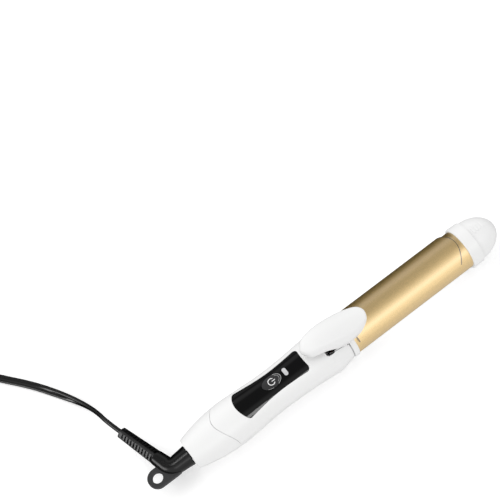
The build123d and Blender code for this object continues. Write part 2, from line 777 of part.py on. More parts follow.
for name, route, length in (("lead", CORD_ROUTE, lead_length), ("tail", TAIL_ROUTE, tail_length)):
    print(name, "length", round(length, 1), "radii", [round(r, 1) for r in corner_radii(route)])
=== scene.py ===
"""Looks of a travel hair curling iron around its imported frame: camera, materials, pieces, cord, light."""

import json
import math

import bmesh
import bpy
from mathutils import Matrix, Vector


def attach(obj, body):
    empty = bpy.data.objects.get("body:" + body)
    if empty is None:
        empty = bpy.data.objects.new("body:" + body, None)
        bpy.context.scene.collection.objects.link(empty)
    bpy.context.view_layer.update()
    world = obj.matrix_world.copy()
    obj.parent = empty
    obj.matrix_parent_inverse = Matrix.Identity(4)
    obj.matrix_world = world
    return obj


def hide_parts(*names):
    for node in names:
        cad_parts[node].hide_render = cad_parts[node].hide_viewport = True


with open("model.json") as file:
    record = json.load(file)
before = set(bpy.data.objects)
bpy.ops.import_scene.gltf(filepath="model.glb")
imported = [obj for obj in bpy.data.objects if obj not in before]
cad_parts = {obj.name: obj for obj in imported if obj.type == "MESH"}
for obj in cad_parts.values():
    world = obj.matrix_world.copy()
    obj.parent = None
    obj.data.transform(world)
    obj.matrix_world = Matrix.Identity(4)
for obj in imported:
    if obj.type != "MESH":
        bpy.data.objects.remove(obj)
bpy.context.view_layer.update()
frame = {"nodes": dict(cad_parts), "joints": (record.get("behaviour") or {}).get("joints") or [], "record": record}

MM = 0.001
joints = {joint["name"]: joint for joint in frame["joints"]}
REAR_X, _, AXIS_Z = joints["cord_swivel"]["pos_m"]


def at(station, y, height):
    """A point from its millimetres along the barrel, across it, and above its axis."""
    return Vector((REAR_X + station * MM, y * MM, AXIS_Z + height * MM))


FLOOR = -AXIS_Z / MM

# ---- camera ----
CAMERA_PLACE = at(-4.4, -294.5, 718.0)
CAMERA_TARGET = at(105.5, 84.9, 0)
CAMERA_ROLL = math.radians(35.86)
CAMERA_LENS, SENSOR_WIDTH = 94.45, 36


def add_camera():
    """Looks down on the iron from the near side, rolled so that the barrel points up to the right."""
    back = (CAMERA_PLACE - CAMERA_TARGET).normalized()
    up_hint = Vector((math.sin(CAMERA_ROLL), math.cos(CAMERA_ROLL), 0))
    right = up_hint.cross(back).normalized()
    up = back.cross(right)
    camera = bpy.data.objects.new("camera", bpy.data.cameras.new("camera"))
    bpy.context.scene.collection.objects.link(camera)
    camera.matrix_world = Matrix.Translation(CAMERA_PLACE) @ Matrix((right, up, back)).transposed().to_4x4()
    camera.data.lens = CAMERA_LENS
    camera.data.sensor_width = SENSOR_WIDTH
    camera.data.clip_start = 0.01
    bpy.context.scene.camera = camera


add_camera()


# ---- materials ----
def shader_input(made, socket):
    return made.node_tree.nodes["Principled BSDF"].inputs[socket]


def material(name, color, roughness, metallic=0.0, **sockets):
    """A Principled material; sockets are further input values by name."""
    made = bpy.data.materials.new(name)
    made.use_nodes = True
    shader_input(made, "Base Color").default_value = (*color, 1)
    shader_input(made, "Roughness").default_value = roughness
    shader_input(made, "Metallic").default_value = metallic
    for socket, value in sockets.items():
        shader_input(made, socket.replace("_", " ")).default_value = value
    return made


def noise_node(made, scale, detail=3.0):
    """A noise texture in the object's own coordinates; scale counts per metre."""
    nodes, links = made.node_tree.nodes, made.node_tree.links
    place = nodes.new("ShaderNodeTexCoord")
    texture = nodes.new("ShaderNodeTexNoise")
    texture.inputs["Scale"].default_value = scale
    texture.inputs["Detail"].default_value = detail
    links.new(place.outputs["Object"], texture.inputs["Vector"])
    return texture


# The part of a noise texture's range that most of its values lie in.
NOISE_LOW, NOISE_HIGH = 0.3, 0.7


def vary(made, socket, texture, low, high):
    """Varies a shader value between low and high by a texture."""
    nodes, links = made.node_tree.nodes, made.node_tree.links
    spread = nodes.new("ShaderNodeMapRange")
    spread.inputs["From Min"].default_value = NOISE_LOW
    spread.inputs["From Max"].default_value = NOISE_HIGH
    spread.inputs["To Min"].default_value = low
    spread.inputs["To Max"].default_value = high
    links.new(texture.outputs["Fac"], spread.inputs["Value"])
    links.new(spread.outputs["Result"], shader_input(made, socket))


def tint(made, texture, dark, light):
    """Varies the base colour between two colours by a texture."""
    nodes, links = made.node_tree.nodes, made.node_tree.links
    ramp = nodes.new("ShaderNodeValToRGB")
    for stop, position, color in zip(ramp.color_ramp.elements, (NOISE_LOW, NOISE_HIGH), (dark, light)):
        stop.position = position
        stop.color = (*color, 1)
    links.new(texture.outputs["Fac"], ramp.inputs["Fac"])
    links.new(ramp.outputs["Color"], shader_input(made, "Base Color"))


def bump(made, texture, height):
    """Raises the surface by up to height metres where the texture is light."""
    nodes, links = made.node_tree.nodes, made.node_tree.links
    node = nodes.new("ShaderNodeBump")
    node.inputs["Strength"].default_value = 1.0
    node.inputs["Distance"].default_value = height
    links.new(texture.outputs["Fac"], node.inputs["Height"])
    links.new(node.outputs["Normal"], shader_input(made, "Normal"))


def math_node(made, operation, first, second):
    """A math node on two sockets or numbers; returns its value socket. made is a material or a world."""
    node = made.node_tree.nodes.new("ShaderNodeMath")
    node.operation = operation
    for socket, value in zip(node.inputs, (first, second)):
        if isinstance(value, (int, float)):
            socket.default_value = value
        else:
            made.node_tree.links.new(value, socket)
    return node.outputs["Value"]


def axis_sockets(made, kind="Object"):
    """The X, Y and Z sockets of the object's own coordinates, or of another kind of coordinates."""
    nodes, links = made.node_tree.nodes, made.node_tree.links
    place = nodes.new("ShaderNodeTexCoord")
    axes = nodes.new("ShaderNodeSeparateXYZ")
    links.new(place.outputs[kind], axes.inputs["Vector"])
    return axes.outputs


# Where a mix node keeps its two colours and its mixed colour.
MIX_FIRST, MIX_SECOND, MIX_RESULT = 6, 7, 2


def paint_where(made, where, color):
    """Puts a colour over the base colour where a socket is 1."""
    nodes, links = made.node_tree.nodes, made.node_tree.links
    base = shader_input(made, "Base Color")
    paint = nodes.new("ShaderNodeMix")
    paint.data_type = "RGBA"
    links.new(where, paint.inputs["Factor"])
    links.new(base.links[0].from_socket, paint.inputs[MIX_FIRST])
    paint.inputs[MIX_SECOND].default_value = (*color, 1)
    links.new(paint.outputs[MIX_RESULT], base)


def white_plastic(name):
    made = material(name, (0.86, 0.86, 0.857), 0.4, Coat_Weight=0.12, Coat_Roughness=0.25)
    vary(made, "Roughness", noise_node(made, 900), 0.38, 0.43)
    tint(made, noise_node(made, 1800), (0.857, 0.857, 0.854), (0.864, 0.864, 0.861))
    return made


def white_with_painted_shade(name, boxes, color):
    """White plastic with painted shade: a colour inside boxes (middle, half size) that are mirrored across the
    barrel.
    """
    made = white_plastic(name)
    axes = axis_sockets(made)
    aside = math_node(made, "ABSOLUTE", axes["Y"], 0)

    def within(value, middle, half):
        away = math_node(made, "ABSOLUTE", math_node(made, "SUBTRACT", value, middle), 0)
        return math_node(made, "LESS_THAN", away, half)

    inside = 0.0
    for (station, y, height), (half_long, half_wide, half_high) in boxes:
        middle = at(station, y, height)
        flat = math_node(made, "MULTIPLY", within(axes["X"], middle.x, half_long * MM),
                         within(aside, middle.y, half_wide * MM))
        box = math_node(made, "MULTIPLY", flat, within(axes["Z"], middle.z, half_high * MM))
        inside = math_node(made, "MAXIMUM", inside, box)
    paint_where(made, inside, color)
    return made


def gloss_black():
    made = material("gloss_black", (0.0012, 0.0012, 0.0014), 0.05, Specular_IOR_Level=0.22)
    vary(made, "Roughness", noise_node(made, 600), 0.035, 0.065)
    return made


def gold(name):
    """A fine-grained satin gold under a hard, clear coat."""
    coat = {"Coat_Weight": 1.0, "Coat_Roughness": 0.36, "Coat_IOR": 2.45}
    made = material(name, (0.76, 0.53, 0.18), 0.56, 0.96, **coat)
    grain = noise_node(made, 1900, detail=4)
    vary(made, "Roughness", grain, 0.5, 0.62)
    tint(made, grain, (0.67, 0.46, 0.14), (0.85, 0.6, 0.22))
    bump(made, grain, 0.000006)
    return made


# The clamp's front edge is bowed: its middle, its corners, and how far these are from the middle.
CLAMP_FRONT, CLAMP_CORNER, CLAMP_HALF_CHORD = 200.5, 194.7, 12.4
CLAMP_REAR = 118.3
# Widths of the brown bands of painted shade along the clamp's front and rear edges, and their colour.
CLAMP_FRONT_BAND, CLAMP_REAR_BAND = 0.35, 0.6
EDGE_SHADE_BROWN = (0.07, 0.035, 0.012)


def gold_with_edge_shade():
    """The clamp's gold with painted shade: a brown band along the front and rear edges of its sheet, where it
    stands off the barrel.
    """
    made = gold("gold_clamp")
    axes = axis_sockets(made)
    bow = (CLAMP_FRONT - CLAMP_CORNER) / (CLAMP_HALF_CHORD * MM) ** 2 * MM
    behind_middle = math_node(made, "MULTIPLY", math_node(made, "MULTIPLY", axes["Y"], axes["Y"]), bow)
    edge = math_node(made, "SUBTRACT", at(CLAMP_FRONT, 0, 0).x, behind_middle)
    behind_edge = math_node(made, "SUBTRACT", edge, axes["X"])
    front = math_node(made, "LESS_THAN", behind_edge, CLAMP_FRONT_BAND * MM)
    rear = math_node(made, "LESS_THAN", axes["X"], at(CLAMP_REAR + CLAMP_REAR_BAND, 0, 0).x)
    paint_where(made, math_node(made, "MAXIMUM", front, rear), EDGE_SHADE_BROWN)
    return made


def rubber(name, shade, roughness, grain, specular=0.5):
    """A dark plastic or rubber whose surface has a grain of so many metres."""
    made = material(name, (shade, shade, shade * 1.04), roughness, Specular_IOR_Level=specular)
    vary(made, "Roughness", noise_node(made, 1500), roughness - 0.03, roughness + 0.04)
    bump(made, noise_node(made, 2600, detail=4), grain)
    return made


def metal(name, color, roughness):
    made = material(name, color, roughness, 1.0)
    vary(made, "Roughness", noise_node(made, 700), roughness - 0.08, roughness + 0.1)
    tint(made, noise_node(made, 300), tuple(0.9 * c for c in color), color)
    return made


def dull(name, color, roughness=0.5):
    made = material(name, color, roughness)
    tint(made, noise_node(made, 500), tuple(0.85 * c for c in color), color)
    bump(made, noise_node(made, 1500), 0.00001)
    return made


MATERIALS = {
    "white_shell": white_plastic("white_plastic"),
    "black_panel": gloss_black(),
    "grey_button": rubber("button_grey", 0.03, 0.35, 0.000008, 0.3),
    "clear_lens": dull("lens", (0.62, 0.62, 0.63), 0.2),
    "board_green": dull("board", (0.03, 0.16, 0.07)),
    "switch_body": dull("switch_body", (0.06, 0.06, 0.06)),
    "gold_barrel": gold("gold_barrel"),
    "gold_clamp": gold_with_edge_shade(),
    "heater_metal": metal("heater_metal", (0.60, 0.61, 0.62), 0.45),
    "ptc_ceramic": dull("ptc_ceramic", (0.42, 0.40, 0.38), 0.7),
    "brass_strip": metal("brass_strip", (0.78, 0.60, 0.30), 0.35),
    "mica": dull("mica", (0.62, 0.56, 0.44), 0.4),
    "fuse_metal": metal("fuse_metal", (0.66, 0.66, 0.67), 0.35),
    "wire_red": dull("wire_red", (0.55, 0.04, 0.03), 0.4),
    "wire_white": dull("wire_white", (0.80, 0.80, 0.78), 0.4),
    "screw_steel": metal("screw_steel", (0.50, 0.50, 0.51), 0.35),
    "sheet_steel": metal("sheet_steel", (0.62, 0.62, 0.63), 0.3),
    "spring_steel": metal("spring_steel", (0.10, 0.10, 0.11), 0.35),
    "black_moulding": rubber("black_moulding", 0.003, 0.25, 0.000003, 0.3),
    "cord_black": rubber("cord_black", 0.003, 0.22, 0.000002, 0.4),
    "brass_blade": metal("brass_blade", (0.80, 0.66, 0.38), 0.25),
}

# Boxes of painted shade, each with its middle and half size: the pocket under the lever and its side notches,
# where no light gets in, the seam beside the lever and its wider end, for the shade in its gap, the crease between
# the cap's rim and its dome, for the shade in it, and the lever's lugs, which are in the shade down in the pocket.
POCKET_BOX = ((102.9, 0, 5.2), (5.43, 8.23, 6.0))
NOTCH_BOXES = [((100.5, 0, 15.1), (2.33, 10.5, 3.03)), ((100.5, 0, 12.0), (2.33, 8.9, 1.2))]
SEAM_BOXES = [((107.4, 8.7, 10), (4.7, 0.1, 6)), ((111.9, 8.7, 10), (0.5, 0.42, 6))]
CREASE_BOX = ((210.95, 0, 0), (0.14, 15, 15))
LUG_BOX = ((104, 5.5, 11), (3.6, 1.5, 5.5))
# Colours of the painted shade: black in the pocket, notches and seam and on the lugs, grey in the cap's crease.
SHADE_BLACK = (0.004, 0.004, 0.004)
CREASE_SHADE_GREY = (0.5, 0.5, 0.5)

# The lever's white, with painted shade on its lugs.
LEVER_WHITE = white_with_painted_shade("white_lever_lug_shade", [LUG_BOX], SHADE_BLACK)
NODE_LOOKS = {
    "upper_shell": white_with_painted_shade("white_recess_shade", [POCKET_BOX, *NOTCH_BOXES, *SEAM_BOXES], SHADE_BLACK),
    "tip_cap": white_with_painted_shade("white_crease_shade", [CREASE_BOX], CREASE_SHADE_GREY),
    # The pivot bracket and pin are near black so that they read as the shade seen through the notches: painted
    # shade.
    "pivot_bracket": metal("pivot_bracket_painted_shade", (0.02, 0.02, 0.022), 0.5),
    "pivot_pin": metal("pivot_pin_painted_shade", (0.03, 0.03, 0.033), 0.45),
}
TAB_GREY = rubber("tab_grey", 0.03, 0.6, 0.00005)
RELIEF_BLACK = rubber("relief_black", 0.006, 0.3, 0.00002)
PRINT_WHITE = dull("print_white", (0.95, 0.95, 0.95), 0.4)
# Light grey of the painted highlight arcs on the button's rim.
HIGHLIGHT_GREY = dull("button_rim_highlight", (0.5, 0.5, 0.5), 0.35)

SLOT_OF_NODE = {part["node"]: part["material_slot"] for part in frame["record"]["subparts"]}
NODE_SHARP, MESH_SHARP = math.radians(32), math.radians(40)
MERGE_DISTANCE = 0.001 * MM


def dress(piece, slot, look=None):
    """Gives a piece one material: the one of its slot in the record, or another look of that slot."""
    piece.data.materials.clear()
    piece.data.materials.append(look or MATERIALS[slot])


for node, piece in frame["nodes"].items():
    dress(piece, SLOT_OF_NODE[node], NODE_LOOKS.get(node))
    piece.data.shade_smooth()
    piece.data.set_sharp_from_angle(angle=NODE_SHARP)


# ---- meshes ----
def add_mesh(name, points, faces, body, slot, *replaced, look=None, merge=False):
    """A smooth-shaded mesh piece that rides on a body and stands for the replaced CAD nodes.

    merge joins points that fall together and turns all faces outwards.
    """
    mesh = bpy.data.meshes.new(name)
    mesh.from_pydata(points, [], faces)
    if merge:
        solid = bmesh.new()
        solid.from_mesh(mesh)
        bmesh.ops.remove_doubles(solid, verts=solid.verts, dist=MERGE_DISTANCE)
        bmesh.ops.recalc_face_normals(solid, faces=solid.faces)
        solid.to_mesh(mesh)
        solid.free()
    mesh.shade_smooth()
    mesh.set_sharp_from_angle(angle=MESH_SHARP)
    piece = bpy.data.objects.new(name, mesh)
    bpy.context.scene.collection.objects.link(piece)
    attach(piece, body)
    dress(piece, slot, look)
    if replaced:
        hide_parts(*replaced)
    return piece


def ring_faces(rings, around, closed_ends=True, loop=False, start=0):
    """Quads between rings of points, each ring with the same count, with end caps or as a closed loop."""
    faces = [
        (start + ring * around + k, start + ring * around + (k + 1) % around,
         start + (ring + 1) % rings * around + (k + 1) % around, start + (ring + 1) % rings * around + k)
        for ring in range(rings if loop else rings - 1)
        for k in range(around)
    ]
    if closed_ends and not loop:
        faces.append(tuple(start + k for k in reversed(range(around))))
        faces.append(tuple(start + (rings - 1) * around + k for k in range(around)))
    return faces


def smooth_line(points, steps=10):
    """A Catmull-Rom line through points, as a closed loop when its first point comes again at the end."""
    closed = points[0] == points[-1]
    known = [Vector(point) for point in points]
    before = known[-2] if closed else 2 * known[0] - known[1]
    after = known[1] if closed else 2 * known[-1] - known[-2]
    known = [before, *known, after]
    line = []
    for a, b, c, d in zip(known, known[1:], known[2:], known[3:]):
        for step in range(steps):
            t = step / steps
            line.append((2 * b + (c - a) * t + (2 * a - 5 * b + 4 * c - d) * t**2
                         + (3 * b - a - 3 * c + d) * t**3) / 2)
    if not closed:
        line.append(known[-2])
    return line


def height_on(line, x):
    """The second coordinate of a line at a first coordinate, between its points."""
    for a, b in zip(line, line[1:]):
        if a[0] <= x <= b[0]:
            return a[1] + (b[1] - a[1]) * (x - a[0]) / (b[0] - a[0])
    return line[0][1] if x < line[0][0] else line[-1][1]


def smoothstep(low, high, value):
    """0 below low, 1 above high, and a smooth step between them."""
    share = min(1.0, max(0.0, (value - low) / (high - low)))
    return share * share * (3 - 2 * share)


# ---- thumb lever ----
PIVOT_STATION, PIVOT_HEIGHT = 104.0, 10.4
PIN_R, PIN_GAP = 1.0, 0.05
LEVER_TRAVEL = math.radians(joints["lever_pivot"]["range_deg"][1])
# The handle's radius below the lever, and the clamp's, which the lever sits on from CLAMP_UNDER on.
SHELL_PROFILE = [
    (70, 12.9), (80, 13.35), (92, 14.3), (98, 15.1),
    (101.8, 15.3), (105, 15.05), (112, 13.1), (140, 13.1),
]
LEVER_SEAT_R, CLAMP_UNDER = 13.84, 108
LEVER_GAP = 0.4
LEVER_OUTLINE = [(131.5, 0), (130.3, 3.9), (127.4, 6.5), (121.8, 8.7), (114.5, 9.3), (107, 9.0), (100, 8.2),
                 (94, 7.0), (88.8, 5.2), (85.6, 0)]
LEVER_CROWN = smooth_line([(84, 23.0), (88, 24.9), (94, 26.0), (101, 25.2), (110, 22.5), (120, 18.8),
                           (128, 16.1), (133, 15.1)])
LEVER_CROWN_R = 16.0
SETTLE_PASSES = 12
# The rim stands off the handle by the lift, which grows and then fades between these stations.
LEVER_LIFT, LIFT_GROWS, LIFT_FADES = 2.5, (88, 97), (98, 108)
LEVER_SPINE = (96.0, 122.0)
LEVER_SKIN, LEVER_RIM = 2.0, 1.6
LEVER_ROUND = 2.3
LEVER_DROP, DROP_OF_WALL = 3.0, 0.62
LEVER_STEPS = 6
# The open inside is filled down to the clamp between these stations.
HOLLOW_FILLS = (115.5, 118.5)
# The rim's lower corner is rounded off by this much, or by a share of the wall's height where that is less.
RIM_SOFT, SOFT_OF_WALL = 0.3, 0.2
# How far in from the rim each point of its underside is, and its share of that rounding.
RIM_UNDERSIDE = ((0.1, 0.3), (0.35, 0), (1.2, 0), (1.5, 0.3))
# The roof inside dips towards the rim by a share of the drop, keeps a least height and stays under a skin.
ROOF_DIP, ROOF_LEAST, ROOF_SKIN = 0.8, 0.1, 0.35
LUG_R, LUG_TOP = 2.6, 7.6
LUG_ASIDE, LUG_HALF, LUG_EDGE = 5.5, 1.1, 0.25
LUG_POINTS_AROUND = 36


def rest_floor(x, y):
    """Lowest height that clears the handle, or sits on the clamp, at rest."""
    radius = height_on(SHELL_PROFILE, x) + LEVER_GAP
    radius = max(radius, LEVER_SEAT_R) if x > CLAMP_UNDER else radius
    return math.sqrt(max(radius**2 - y**2, 0))


def lever_floor(x, y):
    """Lowest height that also clears the handle when the lever is pressed."""
    height = rest_floor(x, y)
    ahead = x - PIVOT_STATION
    if ahead > 0:
        return height
    for _ in range(SETTLE_PASSES):
        rise = height - PIVOT_HEIGHT
        pressed_x = PIVOT_STATION + ahead * math.cos(LEVER_TRAVEL) - rise * math.sin(LEVER_TRAVEL)
        pressed = PIVOT_HEIGHT + rise * math.cos(LEVER_TRAVEL) + ahead * math.sin(LEVER_TRAVEL)
        height += max(rest_floor(pressed_x, y) - pressed, 0)
    return height


def lever_top(x, y):
    """The crown's height: its line along the lever, rounded across."""
    return height_on(LEVER_CROWN, x) - LEVER_CROWN_R + math.sqrt(LEVER_CROWN_R**2 - y**2)


def add_lever():
    """A hollow petal: crowned top, rounded rim and an open inside; in front it sits on the clamp."""
    half = LEVER_OUTLINE[1:-1]
    outline = smooth_line([LEVER_OUTLINE[0], *half, LEVER_OUTLINE[-1],
                           *[(x, -y) for x, y in reversed(half)], LEVER_OUTLINE[0]], 8)
    around = len(outline)
    shares = [k / LEVER_STEPS for k in range(LEVER_STEPS + 1)]
    # Each column of points runs from the crown's middle over the rim, under it and back inside.
    columns = []
    for edge in outline:
        spine = Vector((min(max(edge.x, LEVER_SPINE[0]), LEVER_SPINE[1]), 0))
        reach = (edge - spine).length

        def inset(distance):
            return edge + (spine - edge) * distance / reach

        lift = LEVER_LIFT * smoothstep(*LIFT_GROWS, edge.x) * (1 - smoothstep(*LIFT_FADES, edge.x))
        foot = lever_floor(*edge) + lift
        wall = lever_top(*edge) - foot
        drop = min(LEVER_DROP, DROP_OF_WALL * wall)
        wide = min(LEVER_ROUND, drop)
        column = []
        for share in shares:
            x, y = inset(reach - share * (reach - wide))
            column.append((x, y, lever_top(x, y)))
        for share in shares[1:]:
            bend = math.radians(90) * share
            x, y = inset(wide * (1 - math.sin(bend)))
            column.append((x, y, lever_top(x, y) - drop * (1 - math.cos(bend))))
        soft = min(RIM_SOFT, SOFT_OF_WALL * wall)
        column.append((*edge, foot + soft))
        for distance, rise in RIM_UNDERSIDE:
            x, y = inset(distance)
            column.append((x, y, max(foot, lever_floor(x, y)) + rise * soft))
        for share in reversed(shares):
            x, y = inset(reach - share * (reach - LEVER_RIM))
            top = lever_top(x, y)
            hollow = 1 - smoothstep(*HOLLOW_FILLS, x)
            seat = lever_floor(x, y) + lift
            open_height = max(top - LEVER_SKIN - ROOF_DIP * drop * share**8, seat + ROOF_LEAST)
            roof = min(seat + (open_height - seat) * hollow, top - drop * share**6 - ROOF_SKIN)
            column.append((x, y, roof))
        columns.append(column)
    levels = len(columns[0])
    points = [at(*column[level]) for level in range(levels) for column in columns]
    faces = ring_faces(levels, around, closed_ends=False)
    lug = ported_plate(PIN_R + PIN_GAP, lug_reach, LUG_HALF, LUG_EDGE, LUG_POINTS_AROUND)
    for side in (-1, 1):
        faces += ring_faces(len(lug) // LUG_POINTS_AROUND, LUG_POINTS_AROUND, loop=True, start=len(points))
        points += [at(PIVOT_STATION + x, side * LUG_ASIDE + off, PIVOT_HEIGHT + z) for x, z, off in lug]
    return add_mesh("lever_petal", points, faces, "lever", "white_shell", "thumb_lever",
                    look=LEVER_WHITE, merge=True)


def ported_plate(bore, reach, half_thick, edge, around):
    """Points (across, up, off the middle plane) of a plate with a bore; reach(angle) is its outline."""
    lower, upper = edge - half_thick, half_thick - edge
    loops = [
        (0, 0, lower), (0, edge, -half_thick), (1, -edge, -half_thick), (1, 0, lower),
        (1, 0, upper), (1, -edge, half_thick), (0, edge, half_thick), (0, 0, upper),
    ]
    points = []
    for outer, shift, off in loops:
        for k in range(around):
            angle = math.tau * k / around
            radius = (reach(angle) if outer else bore) + shift
            points.append((radius * math.cos(angle), radius * math.sin(angle), off))
    return points


def lug_reach(angle):
    """A lug's outline about its pin: round below, straight up into the lever above."""
    side, up = abs(math.cos(angle)), math.sin(angle)
    if up <= 0:
        return LUG_R
    return min(LUG_R / max(side, 0.001), LUG_TOP / up)


add_lever()


# ---- spring on the pivot pin ----
SPRING_R, SPRING_WIRE, SPRING_TURNS, SPRING_HALF = 2.2, 0.35, 5.5, 2.1
SPRING_STEPS_A_TURN = 20
SPRING_UPPER_LEG = [(96.8, 15.9), (100.4, 14.2)]
SPRING_LOWER_LEG = [(99.6, 5.5)]


def tube(path, radius, around=10):
    """Points and faces of a round wire along a path of millimetre points."""
    path = [Vector(point) for point in path]
    points = []
    side = (path[1] - path[0]).normalized().orthogonal()
    for k, place in enumerate(path):
        along = (path[min(k + 1, len(path) - 1)] - path[max(k - 1, 0)]).normalized()
        side = (side - along * side.dot(along)).normalized()
        up = along.cross(side)
        for step in range(around):
            angle = math.tau * step / around
            points.append(place + side * radius * math.cos(angle) + up * radius * math.sin(angle))
    return points, ring_faces(len(path), around)


def add_spring():
    """A coil about the pin, with a leg to the lever above and a leg into the handle below."""
    steps = round(SPRING_TURNS * SPRING_STEPS_A_TURN)
    route = [(station, SPRING_HALF, height) for station, height in SPRING_UPPER_LEG]
    for step in range(steps + 1):
        share = step / steps
        angle = math.radians(90) - math.tau * SPRING_TURNS * share
        route.append((PIVOT_STATION + SPRING_R * math.cos(angle), SPRING_HALF * (1 - 2 * share),
                      PIVOT_HEIGHT + SPRING_R * math.sin(angle)))
    route += [(station, -SPRING_HALF, height) for station, height in SPRING_LOWER_LEG]
    points, faces = tube(route, SPRING_WIRE)
    return add_mesh("spring_wire", [at(*point) for point in points], faces, "handle", "spring_steel",
                    "torsion_spring")


add_spring()

# ---- marks on the button: the printed power symbol, and arcs of painted highlight on its rim ----
BUTTON_STATION, BUTTON_FACE_R = 62.7, 12.97
BUTTON_HALF_LONG, BUTTON_HALF_WIDE = 6.5, 3.9
MARK_HEIGHT, MARK_DEPTH = 0.05, 0.1
POWER_R, POWER_STROKE = 2.05, 0.55
POWER_BAR = [(0.3, 0), (2.5, 0)]
# The power symbol's ring is open for this many degrees to each side of its bar.
POWER_OPENING = 38
# Arcs of painted highlight near the button's rim, for the gloss on its rim: how far in from its ends and sides,
# first and last degree, width.
HIGHLIGHT_ARCS = [
    (0.15, 0.1, -64, 64, 0.3),
    (0.15, 0.1, 170, 262, 0.2),
    (1.3, 0.9, -50, 50, 0.2),
]


def raised_stroke(path, wide):
    """A low flat stroke along (along, across) points, wrapped on the button's round face."""
    path = [Vector(point) for point in path]
    points = []
    for k, place in enumerate(path):
        along = (path[min(k + 1, len(path) - 1)] - path[max(k - 1, 0)]).normalized()
        aside = Vector((-along.y, along.x)) * wide / 2
        for corner, lift in ((place - aside, -MARK_DEPTH), (place - aside * 0.8, MARK_HEIGHT),
                             (place + aside * 0.8, MARK_HEIGHT), (place + aside, -MARK_DEPTH)):
            angle = corner.y / BUTTON_FACE_R
            radius = BUTTON_FACE_R + lift
            points.append(at(BUTTON_STATION + corner.x, radius * math.sin(angle), radius * math.cos(angle)))
    return points, ring_faces(len(path), 4)


def arc_line(radius_x, radius_y, start, end, steps=40):
    """Points along an arc of an ellipse, from one angle in degrees to another."""
    angles = [math.radians(start + (end - start) * k / steps) for k in range(steps + 1)]
    return [(radius_x * math.cos(a), radius_y * math.sin(a)) for a in angles]


def add_mark(name, strokes, look):
    """One piece of strokes on the button, for the print and for the painted highlight; each stroke is a path and
    its width.
    """
    points, faces = [], []
    for path, wide in strokes:
        more, quads = raised_stroke(path, wide)
        faces += [tuple(len(points) + k for k in quad) for quad in quads]
        points += more
    return add_mesh(name, points, faces, "button", "grey_button", look=look)


power_ring = arc_line(POWER_R, POWER_R, POWER_OPENING, 360 - POWER_OPENING)
add_mark("power_mark", [(power_ring, POWER_STROKE), (POWER_BAR, POWER_STROKE)], PRINT_WHITE)
# The arcs are painted highlight: light grey strokes for the gloss on the button's rim.
add_mark("button_rim_highlight_arcs", [
    (arc_line(BUTTON_HALF_LONG - in_x, BUTTON_HALF_WIDE - in_y, start, end), wide)
    for in_x, in_y, start, end, wide in HIGHLIGHT_ARCS
], HIGHLIGHT_GREY)

# ---- elbow, hang loop and strain relief ----
ELBOW_STATION = -13.4
RELIEF_HEADING = math.radians(106.6)
ELBOW_BEND_R = 6.0
ELBOW_BEND_STEPS = 12
ELBOW_START_R, ELBOW_END_R = 5.75, 5.0
# Stations and radii of the elbow in front of its bend, from inside the swivel to the bend.
ELBOW_FRONT = [
    (5.6, 1.9), (5.6, 2.9), (-0.3, 2.9), (-0.3, 6.1),
    (-0.38, 6.32), (-0.6, 6.45), (-0.8, 6.45), (-4.0, 6.15),
]
# Distances from the elbow's corner and radii past its bend, to the sleeve.
ELBOW_SIDE = [(6, 4.95), (9, 4.75), (11.2, 4.6), (12.0, 4.5), (12.3, 4.25), (12.35, 3.2)]
ELBOW_POINTS_AROUND = 48
RELIEF_START, RELIEF_END = 10.0, 39.7
RELIEF_SIDE_START, RELIEF_SIDE_END = 3.45, 2.75
RELIEF_CORNER, RELIEF_CORNER_STEPS = 1.0, 5
RELIEF_ROLL = math.radians(45)
# The rounded end of the sleeve: distances before its end, and how much smaller it is there.
RELIEF_TIP = [(0.7, 0), (0.25, 0.03), (0.05, 0.09), (0, 0.2), (0, 0.55)]
SLOT_START, SLOT_PITCH, SLOT_LONG, SLOT_COUNT = 12.6, 2.3, 1.25, 11
# A slot's depth, its share of a face's width, and the faint depth that the same points have between slots.
SLOT_DEPTH, SLOT_SHARE, SLOT_FAINT = 1.0, 0.6, 0.01
RELIEF_ALONG = Vector((math.cos(RELIEF_HEADING), math.sin(RELIEF_HEADING), 0))
RELIEF_ACROSS = Vector((math.sin(RELIEF_HEADING), -math.cos(RELIEF_HEADING), 0))
UP = Vector((0, 0, 1))


def add_elbow():
    """A round moulding swept from the swivel through its bend to the strain relief."""
    corner = Vector((ELBOW_STATION, 0, 0))
    turn = math.pi - RELIEF_HEADING
    tangent = ELBOW_BEND_R * math.tan(turn / 2)
    centre = corner + Vector((tangent, ELBOW_BEND_R, 0))
    rings = [(Vector((station, 0, 0)), Vector((-1, 0, 0)), radius) for station, radius in ELBOW_FRONT]
    for k in range(ELBOW_BEND_STEPS + 1):
        share = k / ELBOW_BEND_STEPS
        angle = turn * share
        place = centre + ELBOW_BEND_R * Vector((-math.sin(angle), -math.cos(angle), 0))
        along = Vector((-math.cos(angle), math.sin(angle), 0))
        radius = ELBOW_START_R + (ELBOW_END_R - ELBOW_START_R) * smoothstep(0, 1, share)
        rings.append((place, along, radius))
    for distance, radius in ELBOW_SIDE:
        rings.append((corner + RELIEF_ALONG * distance, RELIEF_ALONG, radius))
    points = []
    for place, along, radius in rings:
        aside = along.cross(UP)
        for k in range(ELBOW_POINTS_AROUND):
            angle = math.tau * k / ELBOW_POINTS_AROUND
            points.append(at(*(place + aside * radius * math.cos(angle) + UP * radius * math.sin(angle))))
    return add_mesh("elbow_moulding", points, ring_faces(len(rings), ELBOW_POINTS_AROUND), "cord_side",
                    "black_moulding", "cord_elbow")


